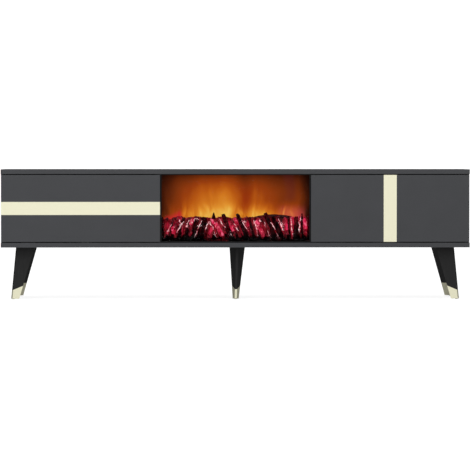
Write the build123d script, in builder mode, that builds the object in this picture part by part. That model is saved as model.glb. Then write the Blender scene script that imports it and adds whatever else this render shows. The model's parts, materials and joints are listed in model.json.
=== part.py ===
"""TV stand with a flame effect fireplace insert in its middle bay.

Millimetres. +X to the right as seen from the front, +Y to the rear, +Z up. The origin is on the
floor, under the middle of the cabinet.
"""

import os
from math import cos, radians, sin

from build123d import *

os.makedirs("parts", exist_ok=True)

# Cabinet
width = 1800.0
depth = 350.0
total_height = 500.0
leg_height = 200.0
board = 18.0
board_edge = 0.6
opening_width = 579.0
back_board = 3.0
back_inset = 1.5
back_play = 0.5
back_overlap = 8.0
back_screw_inset = 40.0
cable_hole_radius = 30.0

half_width = width / 2
front = -depth / 2
rear = depth / 2
floor_top = leg_height + board
ceiling = total_height - board
back_face = rear - back_inset
bay_rear = back_face - back_board
side_x = half_width - board / 2
divider_x = opening_width / 2 + board / 2

# Doors: drop-down flaps between the top and the bottom board, in front of the upright panels
door_thickness = 18.0
door_gap = 3.5
door_end_gap = 1.5
door_edge = 1.0
door_back = front + door_thickness
door_bottom = floor_top + door_gap
door_top = ceiling - door_gap
door_inner_x = opening_width / 2
door_outer_x = half_width - door_end_gap
door_middle_x = (door_inner_x + door_outer_x) / 2
door_middle_z = (door_bottom + door_top) / 2
upright_front = door_back + 1.5
strip_width = 50.0
strip_depth = 1.0
strip_round = 0.8

# Door hinges: small butt hinges in the gap under each door
hinge_y = front + 1.6
hinge_z = floor_top + door_gap / 2
hinge_spread = 200.0
knuckle_radius = 1.4
knuckle_length = 10.0
knuckle_gap = 0.3
hinge_pin_radius = 0.7
running_clearance = 0.05
leaf = 0.8
leaf_start = 1.8
door_leaf_end = 15.8
base_leaf_end = 23.0
hinge_half = 2.5 * knuckle_length
leaf_screw_spread = 16.0
base_leaf_screw = 18.5
door_leaf_screw = 7.4

# Wood screws
screw_radius = 1.5
screw_length = 15.0
screw_head_radius = 2.8
screw_head = 1.2

# Door stays: an arm from the door whose pin runs in a curved track on the side panel
stay_pivot = (30.0, 120.0)
stay_length = 200.0
stay_angle = 25.0
stay_turn = 15.0
door_travel = 90.0
track_margin = 1.5
track_thickness = 5.0
track_depth = 4.0
track_width = 26.0
track_slot = 6.8
track_steps = 6
track_pin_gap = 0.5
stay_pin_radius = 3.0
arm_thickness = 2.0
arm_width = 12.0
arm_gap = 2.0
stay_rivet_radius = 2.5
stay_rivet_head = 4.0
stay_rivet_cap = 1.0
ear_gap = 1.0
ear_radius = 8.0
bracket_sheet = 2.0
bracket_width = 20.0
bracket_half_height = 10.0
bracket_screw_insets = (6.0, 15.0)
track_screw_angles = (12.0, 62.0)
track_screw_offset = 8.0
track_face = half_width - board - track_thickness
arm_outer = track_face - arm_gap
arm_inner = arm_outer - arm_thickness
ear_outer = arm_inner - ear_gap
ear_inner = ear_outer - bracket_sheet

# Push latches on the dividers, near the top of the doors
latch_z = 459.0
latch_width = 12.0
latch_height = 14.0
latch_length = 62.0
latch_flange = 3.0
latch_flange_start = 8.0
latch_flange_end = 30.0
latch_flange_half_height = 18.0
latch_screw_depth = 27.0
latch_screw_spread = 13.0
latch_nose = 5.0
plunger_length = 45.0
plunger_chamfer = 0.6
bore_play = 0.5
striker_radius = 6.5
striker_offset = 1.0
plunger_radius = 4.0
plunger_clearance = 0.08
plunger_travel = 2.5
striker_thickness = 1.0
striker_gap = 0.3

# Cams, bolts and dowels
cam_inset = 34.0
cam_radius = 7.3
cam_pocket_radius = 7.5
cam_pocket_depth = 13.0
cam_play = 0.2
cam_cross = 3.5
cam_cross_width = 0.7
cam_cross_depth = 2.0
cam_bolt_radius = 3.5
cam_bolt_bore = 3.8
cam_thread_radius = 2.5
cam_bolt_gap = 1.0
dowel_radius = 4.0
dowel_bore = 4.1
dowel_length = 30.0
dowel_hole = 20.0
dowel_play = 1.0
fitting_depth = 11.0
cam_rows = (-110.0, 120.0)
dowel_rows = (-60.0, 80.0)

# Legs
glide = 2.0
glide_radius = 4.5
glide_stem_radius = 2.0
glide_stem_top = 12.0
nose_inset_top = 55.0
nose_inset_floor = 37.0
leg_face_top = 71.0
leg_face_floor = 31.0
nose_chamfer = 5.0
tip_nose_height = 33.5
tip_edge_height = 50.0
leg_bolt_radius = 3.0
leg_bolt_head = 6.0
leg_bolt_depth = 22.0
leg_bolt_play = 3.0
leg_bolt_near = 14.0
leg_bolt_far = 30.0
bolt_head_play = 0.2
hex_key_radius = 2.0
hex_key_depth = 2.2
centre_leg_half_top = 30.0
centre_leg_half_floor = 11.5
centre_leg_top_x = 7.8
centre_leg_floor_x = 1.4
centre_nose_flat = 4.0
centre_bolt_spread = 9.0
centre_bolt_depth = 20.0
centre_glide_depth = 7.7
corner_glide_share = 0.3

# Fireplace insert
fire_gap = 1.0
bezel_half = opening_width / 2 - fire_gap
bezel_bottom = floor_top + fire_gap
bezel_top = ceiling - fire_gap
bezel_inset = 2.0
bezel_depth = 7.0
bezel_front = front + bezel_inset
bezel_rear = bezel_front + bezel_depth
bezel_wall = 2.0
bezel_border = 5.0
bezel_top_border = 2.5
bezel_lip = 1.5
glass = 3.0
glass_play = 0.3
sheet = 1.0
housing_play = 0.5
housing_half = bezel_half - housing_play
housing_bottom = bezel_bottom
housing_top = bezel_top - housing_play
housing_depth = 140.0
insert_screw_inset = 12.0
insert_screw_heights = (250.0, 450.0)
housing_rear = bezel_rear + housing_depth
chamber_bottom = housing_bottom + sheet
chamber_top = housing_top - sheet
chamber_half = housing_half - sheet
screen_distance = 54.0
screen_y = bezel_rear + screen_distance
screen = 2.0
screen_play = 1.0

# Moulded ember bed and its logs
ember_play = 2.0
ember_gap = 1.0
ember_half = chamber_half - ember_play
ember_front = bezel_rear + ember_gap
ember_rear = screen_y - ember_gap
ember_wall = 3.0
ember_front_height = 18.0
ember_rear_height = 70.0
log_count = 22
log_inset = 28.0
log_radius = 8.0
log_radius_change = 2.5
log_foot_depth = 22.0
log_foot_height = 6.0
log_tip_depth = 13.0
log_tip_height = 96.0
log_lean = 14.0
log_reach = 24.0

# Flicker drive
spindle_distance = 94.0
spindle_y = bezel_rear + spindle_distance
spindle_z = 262.0
spindle_radius = 2.5
spindle_overhang = 1.0
spindle_in_motor = 8.0
blade_radius = 15.0
blade_sheet = 0.8
blade_count = 20
blade_share = 0.72
blade_turn = 54.0
blade_margin = 10.0
bearing_x = -270.0
bearing_half = 4.0
bearing_radius = 8.0
bearing_foot = 8.0
bearing_foot_half = 12.0
bearing_foot_sheet = 3.0
motor_x = 240.0
motor_radius = 21.0
motor_length = 18.0
motor_bracket_half = 15.0
motor_bracket_sheet = 2.0
motor_foot = 20.0

# Electrics
circuit_board = 1.6
lamp_board_x = (-255.0, 225.0)
lamp_board_half = 6.0
lamp_board_rear = 14.0
lamp_board_front = 26.0
lamp_start = -245.0
lamp_pitch = 20.0
lamp_count = 24
lamp_half = 2.5
lamp_height = 1.6
control_x = (70.0, 170.0)
control_z = (232.0, 292.0)
control_distance = 12.0
control_post_inset = 6.0
control_post_radius = 3.0
relay = ((84.0, 108.0), (240.0, 262.0), 8.0)
chip = ((120.0, 136.0), (262.0, 278.0), 5.0)
capacitor = (150.0, 250.0)
capacitor_radius = 5.0
capacitor_height = 11.0
supply_x = (-240.0, -130.0)
supply_depth = (30.0, 4.0)
supply_top = 256.0
supply_round = 3.0

# Mains inlet and rocker switch in the rear cover
rear_fittings_z = 261.0
inlet_x = -60.0
inlet_half = (14.0, 10.5)
inlet_body = 22.0
inlet_flange_half = (17.0, 13.0)
inlet_flange = 2.5
inlet_socket_half = (12.0, 8.2)
inlet_socket = 17.0
inlet_pin_half = (1.0, 2.0)
inlet_pin_root = 18.0
inlet_pin_tip = 3.0
inlet_pins = ((-7.0, -2.4), (7.0, -2.4), (0.0, 2.4))
switch_x = -10.0
switch_half = (8.0, 11.0)
switch_body_depth = 16.0
switch_flange_half = (9.5, 12.5)
switch_flange = 1.5
switch_well_half = (6.0, 9.6)
switch_well = 11.0
rocker_half = (5.6, 8.6)
rocker_back = 3.0
rocker_nose = 3.4
rocker_waist = 1.6
rocker_tilt = 10.0
rocker_pivot_radius = 1.0
rocker_pivot_half = 7.0
pivot_end_play = 0.2

# Vents of the rear cover
vent_z = 420.0
vent_pitch = (42.0, 14.0)
vent_count = (12, 4)
vent_size = (30.0, 5.0)


def block(x, y, z, mode=Mode.ADD):
    """A box, from its two x, two y and two z values."""
    middle = [(low + high) / 2 for low, high in (x, y, z)]
    size = [abs(high - low) for low, high in (x, y, z)]
    with Locations(tuple(middle)):
        return Box(*size, mode=mode)


def rod(radius, start, end, mode=Mode.ADD):
    """A round bar from one point to another."""
    along = Vector(*end) - Vector(*start)
    base = (Align.CENTER, Align.CENTER, Align.MIN)
    with Locations(Plane(origin=start, z_dir=along)):
        return Cylinder(radius, along.length, align=base, mode=mode)


def wood_screw(seat, into):
    """A screw whose head rests at seat and whose shank goes in the direction into."""
    seat = Vector(*seat)
    into = Vector(*into)
    rod(screw_head_radius, seat, seat - into * screw_head)
    rod(screw_radius, seat, seat + into * screw_length)


def screw_hole(seat, into):
    """The hole of the same screw."""
    seat = Vector(*seat)
    rod(screw_radius, seat, seat + Vector(*into) * screw_length, mode=Mode.SUBTRACT)


# Where the screws go: each is a seat and a direction
def back_panel_screws(side):
    return [
        ((side * x, back_face, z), (0, -1, 0))
        for x in (side_x, divider_x)
        for z in (floor_top + back_screw_inset, ceiling - back_screw_inset)
    ]


def hinge_middles(side):
    return [side * (door_middle_x - hinge_spread), side * (door_middle_x + hinge_spread)]


def base_leaf_screws(side):
    return [
        ((middle + offset, hinge_y + base_leaf_screw, floor_top + leaf), (0, 0, -1))
        for middle in hinge_middles(side)
        for offset in (-leaf_screw_spread, leaf_screw_spread)
    ]


def door_leaf_screws(side):
    return [
        ((middle + offset, hinge_y + door_leaf_screw, door_bottom - leaf), (0, 0, 1))
        for middle in hinge_middles(side)
        for offset in (-leaf_screw_spread, leaf_screw_spread)
    ]


def bracket_screws(side):
    seat_z = hinge_z + stay_pivot[1]
    return [
        ((side * (ear_inner - inset), door_back + bracket_sheet, seat_z), (0, -1, 0))
        for inset in bracket_screw_insets
    ]


def latch_screws(side):
    seat_x = side * (divider_x + board / 2 + latch_flange)
    return [
        ((seat_x, door_back + latch_screw_depth, z), (-side, 0, 0))
        for z in (latch_z - latch_screw_spread, latch_z + latch_screw_spread)
    ]


def insert_screws(side):
    seat_x = side * chamber_half
    seat_y = housing_rear - insert_screw_inset
    return [((seat_x, seat_y, z), (side, 0, 0)) for z in insert_screw_heights]


def stay_pin(door_angle):
    """Where the stay's pin is, in y and z, with the door open by an angle in degrees."""
    turned = radians(door_angle)
    arm = radians(stay_angle + stay_turn * door_angle / door_travel)
    across, up = stay_pivot
    y = across * cos(turned) - up * sin(turned) + stay_length * cos(arm)
    z = across * sin(turned) + up * cos(turned) + stay_length * sin(arm)
    return hinge_y + y, hinge_z + z


def track_screws(side):
    """Two screws beside the slot, on its lower side."""
    screws = []
    for door_angle in track_screw_angles:
        y, z = stay_pin(door_angle)
        ahead_y, ahead_z = stay_pin(door_angle + 1)
        along = Vector(ahead_y - y, ahead_z - z).normalized()
        aside = Vector(-along.Y, along.X) * track_screw_offset
        seat = (side * track_face, y + aside.X, z + aside.Y)
        screws.append((seat, (side, 0, 0)))
    return screws


# Boards
def fitting_holes(z_face, into):
    """The holes in a board for the cam bolts and the dowels, from one of its faces."""
    for x in (-side_x, -divider_x, divider_x, side_x):
        for y in cam_rows:
            rod(cam_thread_radius, (x, y, z_face), (x, y, z_face + into * fitting_depth),
                mode=Mode.SUBTRACT)
        for y in dowel_rows:
            rod(dowel_bore, (x, y, z_face), (x, y, z_face + into * (fitting_depth + dowel_play)),
                mode=Mode.SUBTRACT)


def corner_leg_bolts(side, end):
    """The two bolts of a corner leg, in x and y. end is -1 at the front and 1 at the rear."""
    nose_x = side * (half_width - nose_inset_top)
    nose_y = end * (rear - nose_inset_top)
    return [
        (nose_x - side * leg_bolt_near, nose_y - end * leg_bolt_far),
        (nose_x - side * leg_bolt_far, nose_y - end * leg_bolt_near),
    ]


centre_nose_y = front + nose_inset_top
centre_leg_bolts = [
    (centre_leg_top_x - centre_bolt_spread, centre_nose_y + centre_bolt_depth),
    (centre_leg_top_x + centre_bolt_spread, centre_nose_y + centre_bolt_depth),
]
corners = {
    "front_left": (-1, -1),
    "front_right": (1, -1),
    "rear_left": (-1, 1),
    "rear_right": (1, 1),
}
all_leg_bolts = [
    place for side, end in corners.values() for place in corner_leg_bolts(side, end)
] + centre_leg_bolts

with BuildPart() as top_panel:
    block((-half_width, half_width), (front, rear), (ceiling, total_height))
    fillet(top_panel.edges(), board_edge)
    fitting_holes(ceiling, 1)
top_panel.part.label = "top_panel"
export_step(top_panel.part, "parts/top_panel.step")

with BuildPart() as bottom_panel:
    block((-half_width, half_width), (front, rear), (leg_height, floor_top))
    fillet(bottom_panel.edges(), board_edge)
    fitting_holes(floor_top, -1)
    with Locations(*[(x, y, floor_top) for x, y in all_leg_bolts]):
        CounterSinkHole(leg_bolt_radius, leg_bolt_head)
    for side in (-1, 1):
        for seat, into in base_leaf_screws(side):
            screw_hole(seat, into)
bottom_panel.part.label = "bottom_panel"
export_step(bottom_panel.part, "parts/bottom_panel.step")


def cam_centres(x_middle, bay_side):
    """Each cam on a panel: its middle, and 1 at the upper end or -1 at the lower."""
    x = x_middle + bay_side * (board / 2 - cam_pocket_depth / 2)
    return [
        ((x, y, z), end)
        for y in cam_rows
        for z, end in ((floor_top + cam_inset, -1), (ceiling - cam_inset, 1))
    ]


def upright_panel(x_middle, bay_side):
    """An upright panel with its cam pockets, bolt bores and dowel holes."""
    block((x_middle - board / 2, x_middle + board / 2), (upright_front, bay_rear),
          (floor_top, ceiling))
    for (x, y, z), end in cam_centres(x_middle, bay_side):
        edge = ceiling if end > 0 else floor_top
        pocket = cam_pocket_depth / 2
        rod(cam_pocket_radius, (x - pocket, y, z), (x + pocket, y, z), mode=Mode.SUBTRACT)
        rod(cam_bolt_bore, (x_middle, y, edge), (x_middle, y, z), mode=Mode.SUBTRACT)
    for y in dowel_rows:
        for edge, into in ((floor_top, 1), (ceiling, -1)):
            rod(dowel_bore, (x_middle, y, edge), (x_middle, y, edge + into * dowel_hole),
                mode=Mode.SUBTRACT)


uprights = [(-side_x, 1), (-divider_x, -1), (divider_x, 1), (side_x, -1)]
side_names = {-1: "left", 1: "right"}

for side, hand in side_names.items():
    with BuildPart() as side_panel:
        upright_panel(side * side_x, -side)
        for seat, into in back_panel_screws(side)[:2] + track_screws(side):
            screw_hole(seat, into)
    side_panel.part.label = f"side_panel_{hand}"
    export_step(side_panel.part, f"parts/side_panel_{hand}.step")

    with BuildPart() as divider:
        upright_panel(side * divider_x, side)
        for seat, into in back_panel_screws(side)[2:] + latch_screws(side) + insert_screws(side):
            screw_hole(seat, into)
    divider.part.label = f"divider_{hand}"
    export_step(divider.part, f"parts/divider_{hand}.step")

    with BuildPart() as back_panel:
        block((side * (divider_x - back_overlap), side * (side_x + back_overlap)),
              (bay_rear, back_face), (floor_top + back_play, ceiling - back_play))
        middle = (side * door_middle_x, back_face, door_middle_z)
        rod(cable_hole_radius, middle, (middle[0], bay_rear, middle[2]), mode=Mode.SUBTRACT)
        for seat, into in back_panel_screws(side):
            screw_hole(seat, into)
    back_panel.part.label = f"back_panel_{hand}"
    export_step(back_panel.part, f"parts/back_panel_{hand}.step")

# Cam locks, cam bolts and dowels
with BuildPart() as cam_locks:
    for x_middle, bay_side in uprights:
        for (x, y, z), end in cam_centres(x_middle, bay_side):
            face_x = x + bay_side * (cam_pocket_depth / 2 - cam_play)
            inner_x = x - bay_side * (cam_pocket_depth / 2 - cam_play)
            rod(cam_radius, (inner_x, y, z), (face_x, y, z))
            block((x_middle - cam_bolt_bore, x_middle + cam_bolt_bore),
                  (y - cam_bolt_bore, y + cam_bolt_bore),
                  (z, z + end * (cam_radius + 1)), mode=Mode.SUBTRACT)
            drive = (face_x - bay_side * cam_cross_depth, face_x)
            block(drive, (y - cam_cross, y + cam_cross),
                  (z - cam_cross_width, z + cam_cross_width), mode=Mode.SUBTRACT)
            block(drive, (y - cam_cross_width, y + cam_cross_width),
                  (z - cam_cross, z + cam_cross), mode=Mode.SUBTRACT)
cam_locks.part.label = "cam_locks"
export_step(cam_locks.part, "parts/cam_locks.step")

with BuildPart() as cam_bolts:
    for x_middle, bay_side in uprights:
        for (x, y, z), end in cam_centres(x_middle, bay_side):
            edge = ceiling if end > 0 else floor_top
            rod(cam_thread_radius, (x_middle, y, edge + end * fitting_depth),
                (x_middle, y, edge))
            rod(cam_bolt_radius, (x_middle, y, edge), (x_middle, y, z + end * cam_bolt_gap))
cam_bolts.part.label = "cam_bolts"
export_step(cam_bolts.part, "parts/cam_bolts.step")

with BuildPart() as dowels:
    for x_middle, bay_side in uprights:
        for y in dowel_rows:
            for edge, into in ((floor_top, 1), (ceiling, -1)):
                start = (x_middle, y, edge - into * fitting_depth)
                rod(dowel_radius, start, (x_middle, y, start[2] + into * dowel_length))
dowels.part.label = "dowels"
export_step(dowels.part, "parts/dowels.step")


# Legs
def at_height(top, floor, z):
    """A leg dimension at a height, from its values at the cabinet and at the floor."""
    return floor + (top - floor) * z / leg_height


def corner_leg_nose(side, end, z):
    inset = at_height(nose_inset_top, nose_inset_floor, z)
    return side * (half_width - inset), end * (rear - inset)


def corner_leg_loft(side, end):
    """Right-angled section with its nose outwards and a flat diagonal back."""
    sections = []
    for z in (glide, leg_height):
        x, y = corner_leg_nose(side, end, z)
        face = at_height(leg_face_top, leg_face_floor, z)
        with BuildSketch(Plane.XY.offset(z)) as section:
            with BuildLine():
                Polyline(
                    (x - side * nose_chamfer, y),
                    (x - side * face, y),
                    (x, y - end * face),
                    (x, y - end * nose_chamfer),
                    close=True,
                )
            make_face()
        sections.append(section.sketch)
    loft(sections, ruled=True)


def corner_tip_plane(side, end):
    """The joint between leg and tip: it rises from the nose to both inner edges."""
    x, y = corner_leg_nose(side, end, tip_nose_height)
    face = at_height(leg_face_top, leg_face_floor, tip_edge_height)
    slope = (tip_edge_height - tip_nose_height) / face
    return Plane(origin=(x, y, tip_nose_height), z_dir=(side * slope, end * slope, 1))


def centre_leg_loft():
    """The same kind of section, with its nose to the front."""
    sections = []
    for z in (glide, leg_height):
        half = at_height(centre_leg_half_top, centre_leg_half_floor, z)
        x = at_height(centre_leg_top_x, centre_leg_floor_x, z)
        nose_y = front + at_height(nose_inset_top, nose_inset_floor, z)
        with BuildSketch(Plane.XY.offset(z)) as section:
            with BuildLine():
                Polyline(
                    (x - centre_nose_flat, nose_y + centre_nose_flat),
                    (x - half, nose_y + half),
                    (x + half, nose_y + half),
                    (x + centre_nose_flat, nose_y + centre_nose_flat),
                    close=True,
                )
            make_face()
        sections.append(section.sketch)
    loft(sections, ruled=True)


def centre_tip_plane():
    half = at_height(centre_leg_half_top, centre_leg_half_floor, tip_edge_height)
    nose_y = front + at_height(nose_inset_top, nose_inset_floor, tip_nose_height)
    slope = (tip_edge_height - tip_nose_height) / half
    origin = (centre_leg_floor_x, nose_y, tip_nose_height)
    return Plane(origin=origin, z_dir=(0, -slope, 1))


def leg_bolt_holes(places):
    for x, y in places:
        rod(leg_bolt_radius, (x, y, leg_height),
            (x, y, leg_height - leg_bolt_depth - leg_bolt_play), mode=Mode.SUBTRACT)


def corner_glide(side, end):
    x, y = corner_leg_nose(side, end, 0)
    inset = leg_face_floor * corner_glide_share
    return x - side * inset, y - end * inset


glide_places = {name: corner_glide(side, end) for name, (side, end) in corners.items()}
glide_places["centre"] = (centre_leg_floor_x, front + nose_inset_floor + centre_glide_depth)


def stem_hole(place):
    x, y = place
    rod(glide_stem_radius, (x, y, 0), (x, y, glide_stem_top), mode=Mode.SUBTRACT)


for name, (side, end) in corners.items():
    with BuildPart() as leg:
        corner_leg_loft(side, end)
        split(bisect_by=corner_tip_plane(side, end), keep=Keep.TOP)
        leg_bolt_holes(corner_leg_bolts(side, end))
    leg.part.label = f"leg_{name}"
    export_step(leg.part, f"parts/leg_{name}.step")

    with BuildPart() as leg_tip:
        corner_leg_loft(side, end)
        split(bisect_by=corner_tip_plane(side, end), keep=Keep.BOTTOM)
        stem_hole(glide_places[name])
    leg_tip.part.label = f"leg_tip_{name}"
    export_step(leg_tip.part, f"parts/leg_tip_{name}.step")

with BuildPart() as leg_centre:
    centre_leg_loft()
    split(bisect_by=centre_tip_plane(), keep=Keep.TOP)
    leg_bolt_holes(centre_leg_bolts)
leg_centre.part.label = "leg_centre"
export_step(leg_centre.part, "parts/leg_centre.step")

with BuildPart() as leg_tip_centre:
    centre_leg_loft()
    split(bisect_by=centre_tip_plane(), keep=Keep.BOTTOM)
    stem_hole(glide_places["centre"])
leg_tip_centre.part.label = "leg_tip_centre"
export_step(leg_tip_centre.part, "parts/leg_tip_centre.step")

with BuildPart() as leg_glides:
    for x, y in glide_places.values():
        rod(glide_radius, (x, y, 0), (x, y, glide))
        rod(glide_stem_radius, (x, y, glide), (x, y, glide_stem_top))
leg_glides.part.label = "leg_glides"
export_step(leg_glides.part, "parts/leg_glides.step")

with BuildPart() as leg_bolts:
    head = leg_bolt_head - leg_bolt_radius
    head_top = floor_top - bolt_head_play
    for x, y in all_leg_bolts:
        rod(leg_bolt_radius, (x, y, leg_height - leg_bolt_depth), (x, y, head_top))
        with Locations((x, y, head_top - head / 2)):
            Cone(leg_bolt_radius, leg_bolt_head - bolt_head_play, head)
    with BuildSketch(Plane.XY.offset(floor_top)):
        with Locations(*all_leg_bolts):
            RegularPolygon(hex_key_radius, 6)
    extrude(amount=-hex_key_depth, mode=Mode.SUBTRACT)
leg_bolts.part.label = "leg_bolts"
export_step(leg_bolts.part, "parts/leg_bolts.step")


# Doors and their gold strips
def door_block(side):
    block((side * door_inner_x, side * door_outer_x), (front, door_back),
          (door_bottom, door_top))


with BuildPart() as door_left:
    door_block(-1)
    fillet(door_left.edges(), door_edge)
    block((-half_width, 0), (front, front + strip_depth),
          (door_middle_z - strip_width / 2, door_middle_z + strip_width / 2),
          mode=Mode.SUBTRACT)
    for seat, into in door_leaf_screws(-1) + bracket_screws(-1):
        screw_hole(seat, into)
door_left.part.label = "door_left"
export_step(door_left.part, "parts/door_left.step")

with BuildPart() as door_right:
    door_block(1)
    fillet(door_right.edges(), door_edge)
    block((door_middle_x - strip_width / 2, door_middle_x + strip_width / 2),
          (front, front + strip_depth), (leg_height, total_height), mode=Mode.SUBTRACT)
    for seat, into in door_leaf_screws(1) + bracket_screws(1):
        screw_hole(seat, into)
door_right.part.label = "door_right"
export_step(door_right.part, "parts/door_right.step")

with BuildPart() as strip_horizontal:
    block((-door_outer_x, -door_inner_x), (front, front + strip_depth),
          (door_middle_z - strip_width / 2, door_middle_z + strip_width / 2))
    ends = strip_horizontal.edges().filter_by(Axis.Z).group_by(Axis.Y)[0]
    fillet(ends, strip_round)
strip_horizontal.part.label = "strip_horizontal"
export_step(strip_horizontal.part, "parts/strip_horizontal.step")

with BuildPart() as strip_vertical:
    block((door_middle_x - strip_width / 2, door_middle_x + strip_width / 2),
          (front, front + strip_depth), (door_bottom, door_top))
    ends = strip_vertical.edges().filter_by(Axis.X).group_by(Axis.Y)[0]
    fillet(ends, strip_round)
strip_vertical.part.label = "strip_vertical"
export_step(strip_vertical.part, "parts/strip_vertical.step")


# Hinges
def knuckles(middle, steps, shorten):
    """The x spans of some of a hinge's five knuckles, numbered from -2 to 2."""
    half = knuckle_length / 2 - shorten
    return [
        (middle + step * knuckle_length - half, middle + step * knuckle_length + half)
        for step in steps
    ]


def hinge_leaf(middle, spans, z, leaf_end):
    """A leaf between two z values, with tongues out to its own knuckles."""
    block((middle - hinge_half, middle + hinge_half), (hinge_y + leaf_start, leaf_end), z)
    for low, high in spans:
        block((low, high), (hinge_y, hinge_y + leaf_start), z)
        rod(knuckle_radius, (low, hinge_y, hinge_z), (high, hinge_y, hinge_z))


def hinge_bore(middle, radius):
    rod(radius, (middle - hinge_half, hinge_y, hinge_z), (middle + hinge_half, hinge_y, hinge_z),
        mode=Mode.SUBTRACT)


with BuildPart() as hinge_leaves_base:
    for side in (-1, 1):
        for middle in hinge_middles(side):
            hinge_leaf(middle, knuckles(middle, (-2, 0, 2), 0), (floor_top, floor_top + leaf),
                       hinge_y + base_leaf_end)
            hinge_bore(middle, hinge_pin_radius)
        for seat, into in base_leaf_screws(side):
            rod(screw_radius, seat, (seat[0], seat[1], floor_top), mode=Mode.SUBTRACT)
hinge_leaves_base.part.label = "hinge_leaves_base"
export_step(hinge_leaves_base.part, "parts/hinge_leaves_base.step")

with BuildPart() as hinge_pins:
    for side in (-1, 1):
        for middle in hinge_middles(side):
            rod(hinge_pin_radius, (middle - hinge_half, hinge_y, hinge_z),
                (middle + hinge_half, hinge_y, hinge_z))
hinge_pins.part.label = "hinge_pins"
export_step(hinge_pins.part, "parts/hinge_pins.step")

for side, hand in side_names.items():
    with BuildPart() as hinge_leaves:
        for middle in hinge_middles(side):
            hinge_leaf(middle, knuckles(middle, (-1, 1), knuckle_gap),
                       (door_bottom - leaf, door_bottom), hinge_y + door_leaf_end)
            hinge_bore(middle, hinge_pin_radius + running_clearance)
        for seat, into in door_leaf_screws(side):
            rod(screw_radius, seat, (seat[0], seat[1], door_bottom), mode=Mode.SUBTRACT)
    hinge_leaves.part.label = f"hinge_leaves_{hand}"
    export_step(hinge_leaves.part, f"parts/hinge_leaves_{hand}.step")


# Door stays
def track_path():
    """The line that the stay's pin follows, a little longer at both ends."""
    first = -track_margin
    last = door_travel + track_margin
    step = (last - first) / track_steps
    Spline(*[stay_pin(first + step * number) for number in range(track_steps + 1)])


def track(side, width, depth_out, depth_in, mode=Mode.ADD):
    """A band along the pin's path, between two distances from the cabinet's middle."""
    with BuildSketch(Plane.YZ.offset(side * depth_out)) as band:
        with BuildLine() as path:
            track_path()
        trace(path.line, width)
    extrude(band.sketch, amount=side * (depth_in - depth_out), mode=mode)


rail_back = half_width - board
for side, hand in side_names.items():
    pivot_y = hinge_y + stay_pivot[0]
    pivot_z = hinge_z + stay_pivot[1]

    with BuildPart() as stay_rail:
        track(side, track_width, rail_back, track_face)
        track(side, track_slot, track_face, track_face + track_depth, mode=Mode.SUBTRACT)
        for seat, into in track_screws(side):
            screw_hole(seat, into)
    stay_rail.part.label = f"stay_rail_{hand}"
    export_step(stay_rail.part, f"parts/stay_rail_{hand}.step")

    end_y, end_z = stay_pin(0)
    with BuildPart() as stay_arm:
        with BuildSketch(Plane.YZ.offset(side * arm_inner)):
            with BuildLine() as centre_line:
                Line((pivot_y, pivot_z), (end_y, end_z))
            trace(centre_line.line, arm_width)
            with Locations((pivot_y, pivot_z), (end_y, end_z)):
                Circle(arm_width / 2)
        extrude(amount=side * arm_thickness)
        rod(stay_rivet_radius + running_clearance, (side * arm_inner, pivot_y, pivot_z),
            (side * arm_outer, pivot_y, pivot_z), mode=Mode.SUBTRACT)
        rod(stay_pin_radius, (side * arm_outer, end_y, end_z),
            (side * (track_face + track_depth - track_pin_gap), end_y, end_z))
    stay_arm.part.label = f"stay_arm_{hand}"
    export_step(stay_arm.part, f"parts/stay_arm_{hand}.step")

    with BuildPart() as stay_bracket:
        block((side * (ear_inner - bracket_width), side * ear_outer),
              (door_back, door_back + bracket_sheet),
              (pivot_z - bracket_half_height, pivot_z + bracket_half_height))
        block((side * ear_inner, side * ear_outer), (door_back, pivot_y),
              (pivot_z - ear_radius, pivot_z + ear_radius))
        rod(ear_radius, (side * ear_inner, pivot_y, pivot_z),
            (side * ear_outer, pivot_y, pivot_z))
        cap = arm_outer + knuckle_gap
        rod(stay_rivet_head, (side * ear_outer, pivot_y, pivot_z),
            (side * (arm_inner - knuckle_gap), pivot_y, pivot_z))
        rod(stay_rivet_radius, (side * ear_outer, pivot_y, pivot_z),
            (side * cap, pivot_y, pivot_z))
        rod(stay_rivet_head, (side * cap, pivot_y, pivot_z),
            (side * (cap + stay_rivet_cap), pivot_y, pivot_z))
        for seat, into in bracket_screws(side):
            rod(screw_radius, seat, (seat[0], door_back, seat[2]), mode=Mode.SUBTRACT)
    stay_bracket.part.label = f"stay_bracket_{hand}"
    export_step(stay_bracket.part, f"parts/stay_bracket_{hand}.step")

# Push latches
plunger_tip = door_back + striker_thickness + striker_gap
latch_front = plunger_tip + latch_nose
latch_rear = latch_front + latch_length
plunger_rear = plunger_tip + plunger_length


def latch_x(side):
    return side * (divider_x + board / 2 + latch_width / 2)


with BuildPart() as latch_bodies:
    for side in (-1, 1):
        wall = side * (divider_x + board / 2)
        block((wall, wall + side * latch_width), (latch_front, latch_rear),
              (latch_z - latch_height / 2, latch_z + latch_height / 2))
        block((wall, wall + side * latch_flange),
              (latch_front + latch_flange_start, latch_front + latch_flange_end),
              (latch_z - latch_flange_half_height, latch_z + latch_flange_half_height))
        bore_end = plunger_rear + plunger_travel + bore_play
        rod(plunger_radius + plunger_clearance, (latch_x(side), latch_front, latch_z),
            (latch_x(side), bore_end, latch_z), mode=Mode.SUBTRACT)
        for seat, into in latch_screws(side):
            screw_hole(seat, into)
latch_bodies.part.label = "latch_bodies"
export_step(latch_bodies.part, "parts/latch_bodies.step")

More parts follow.
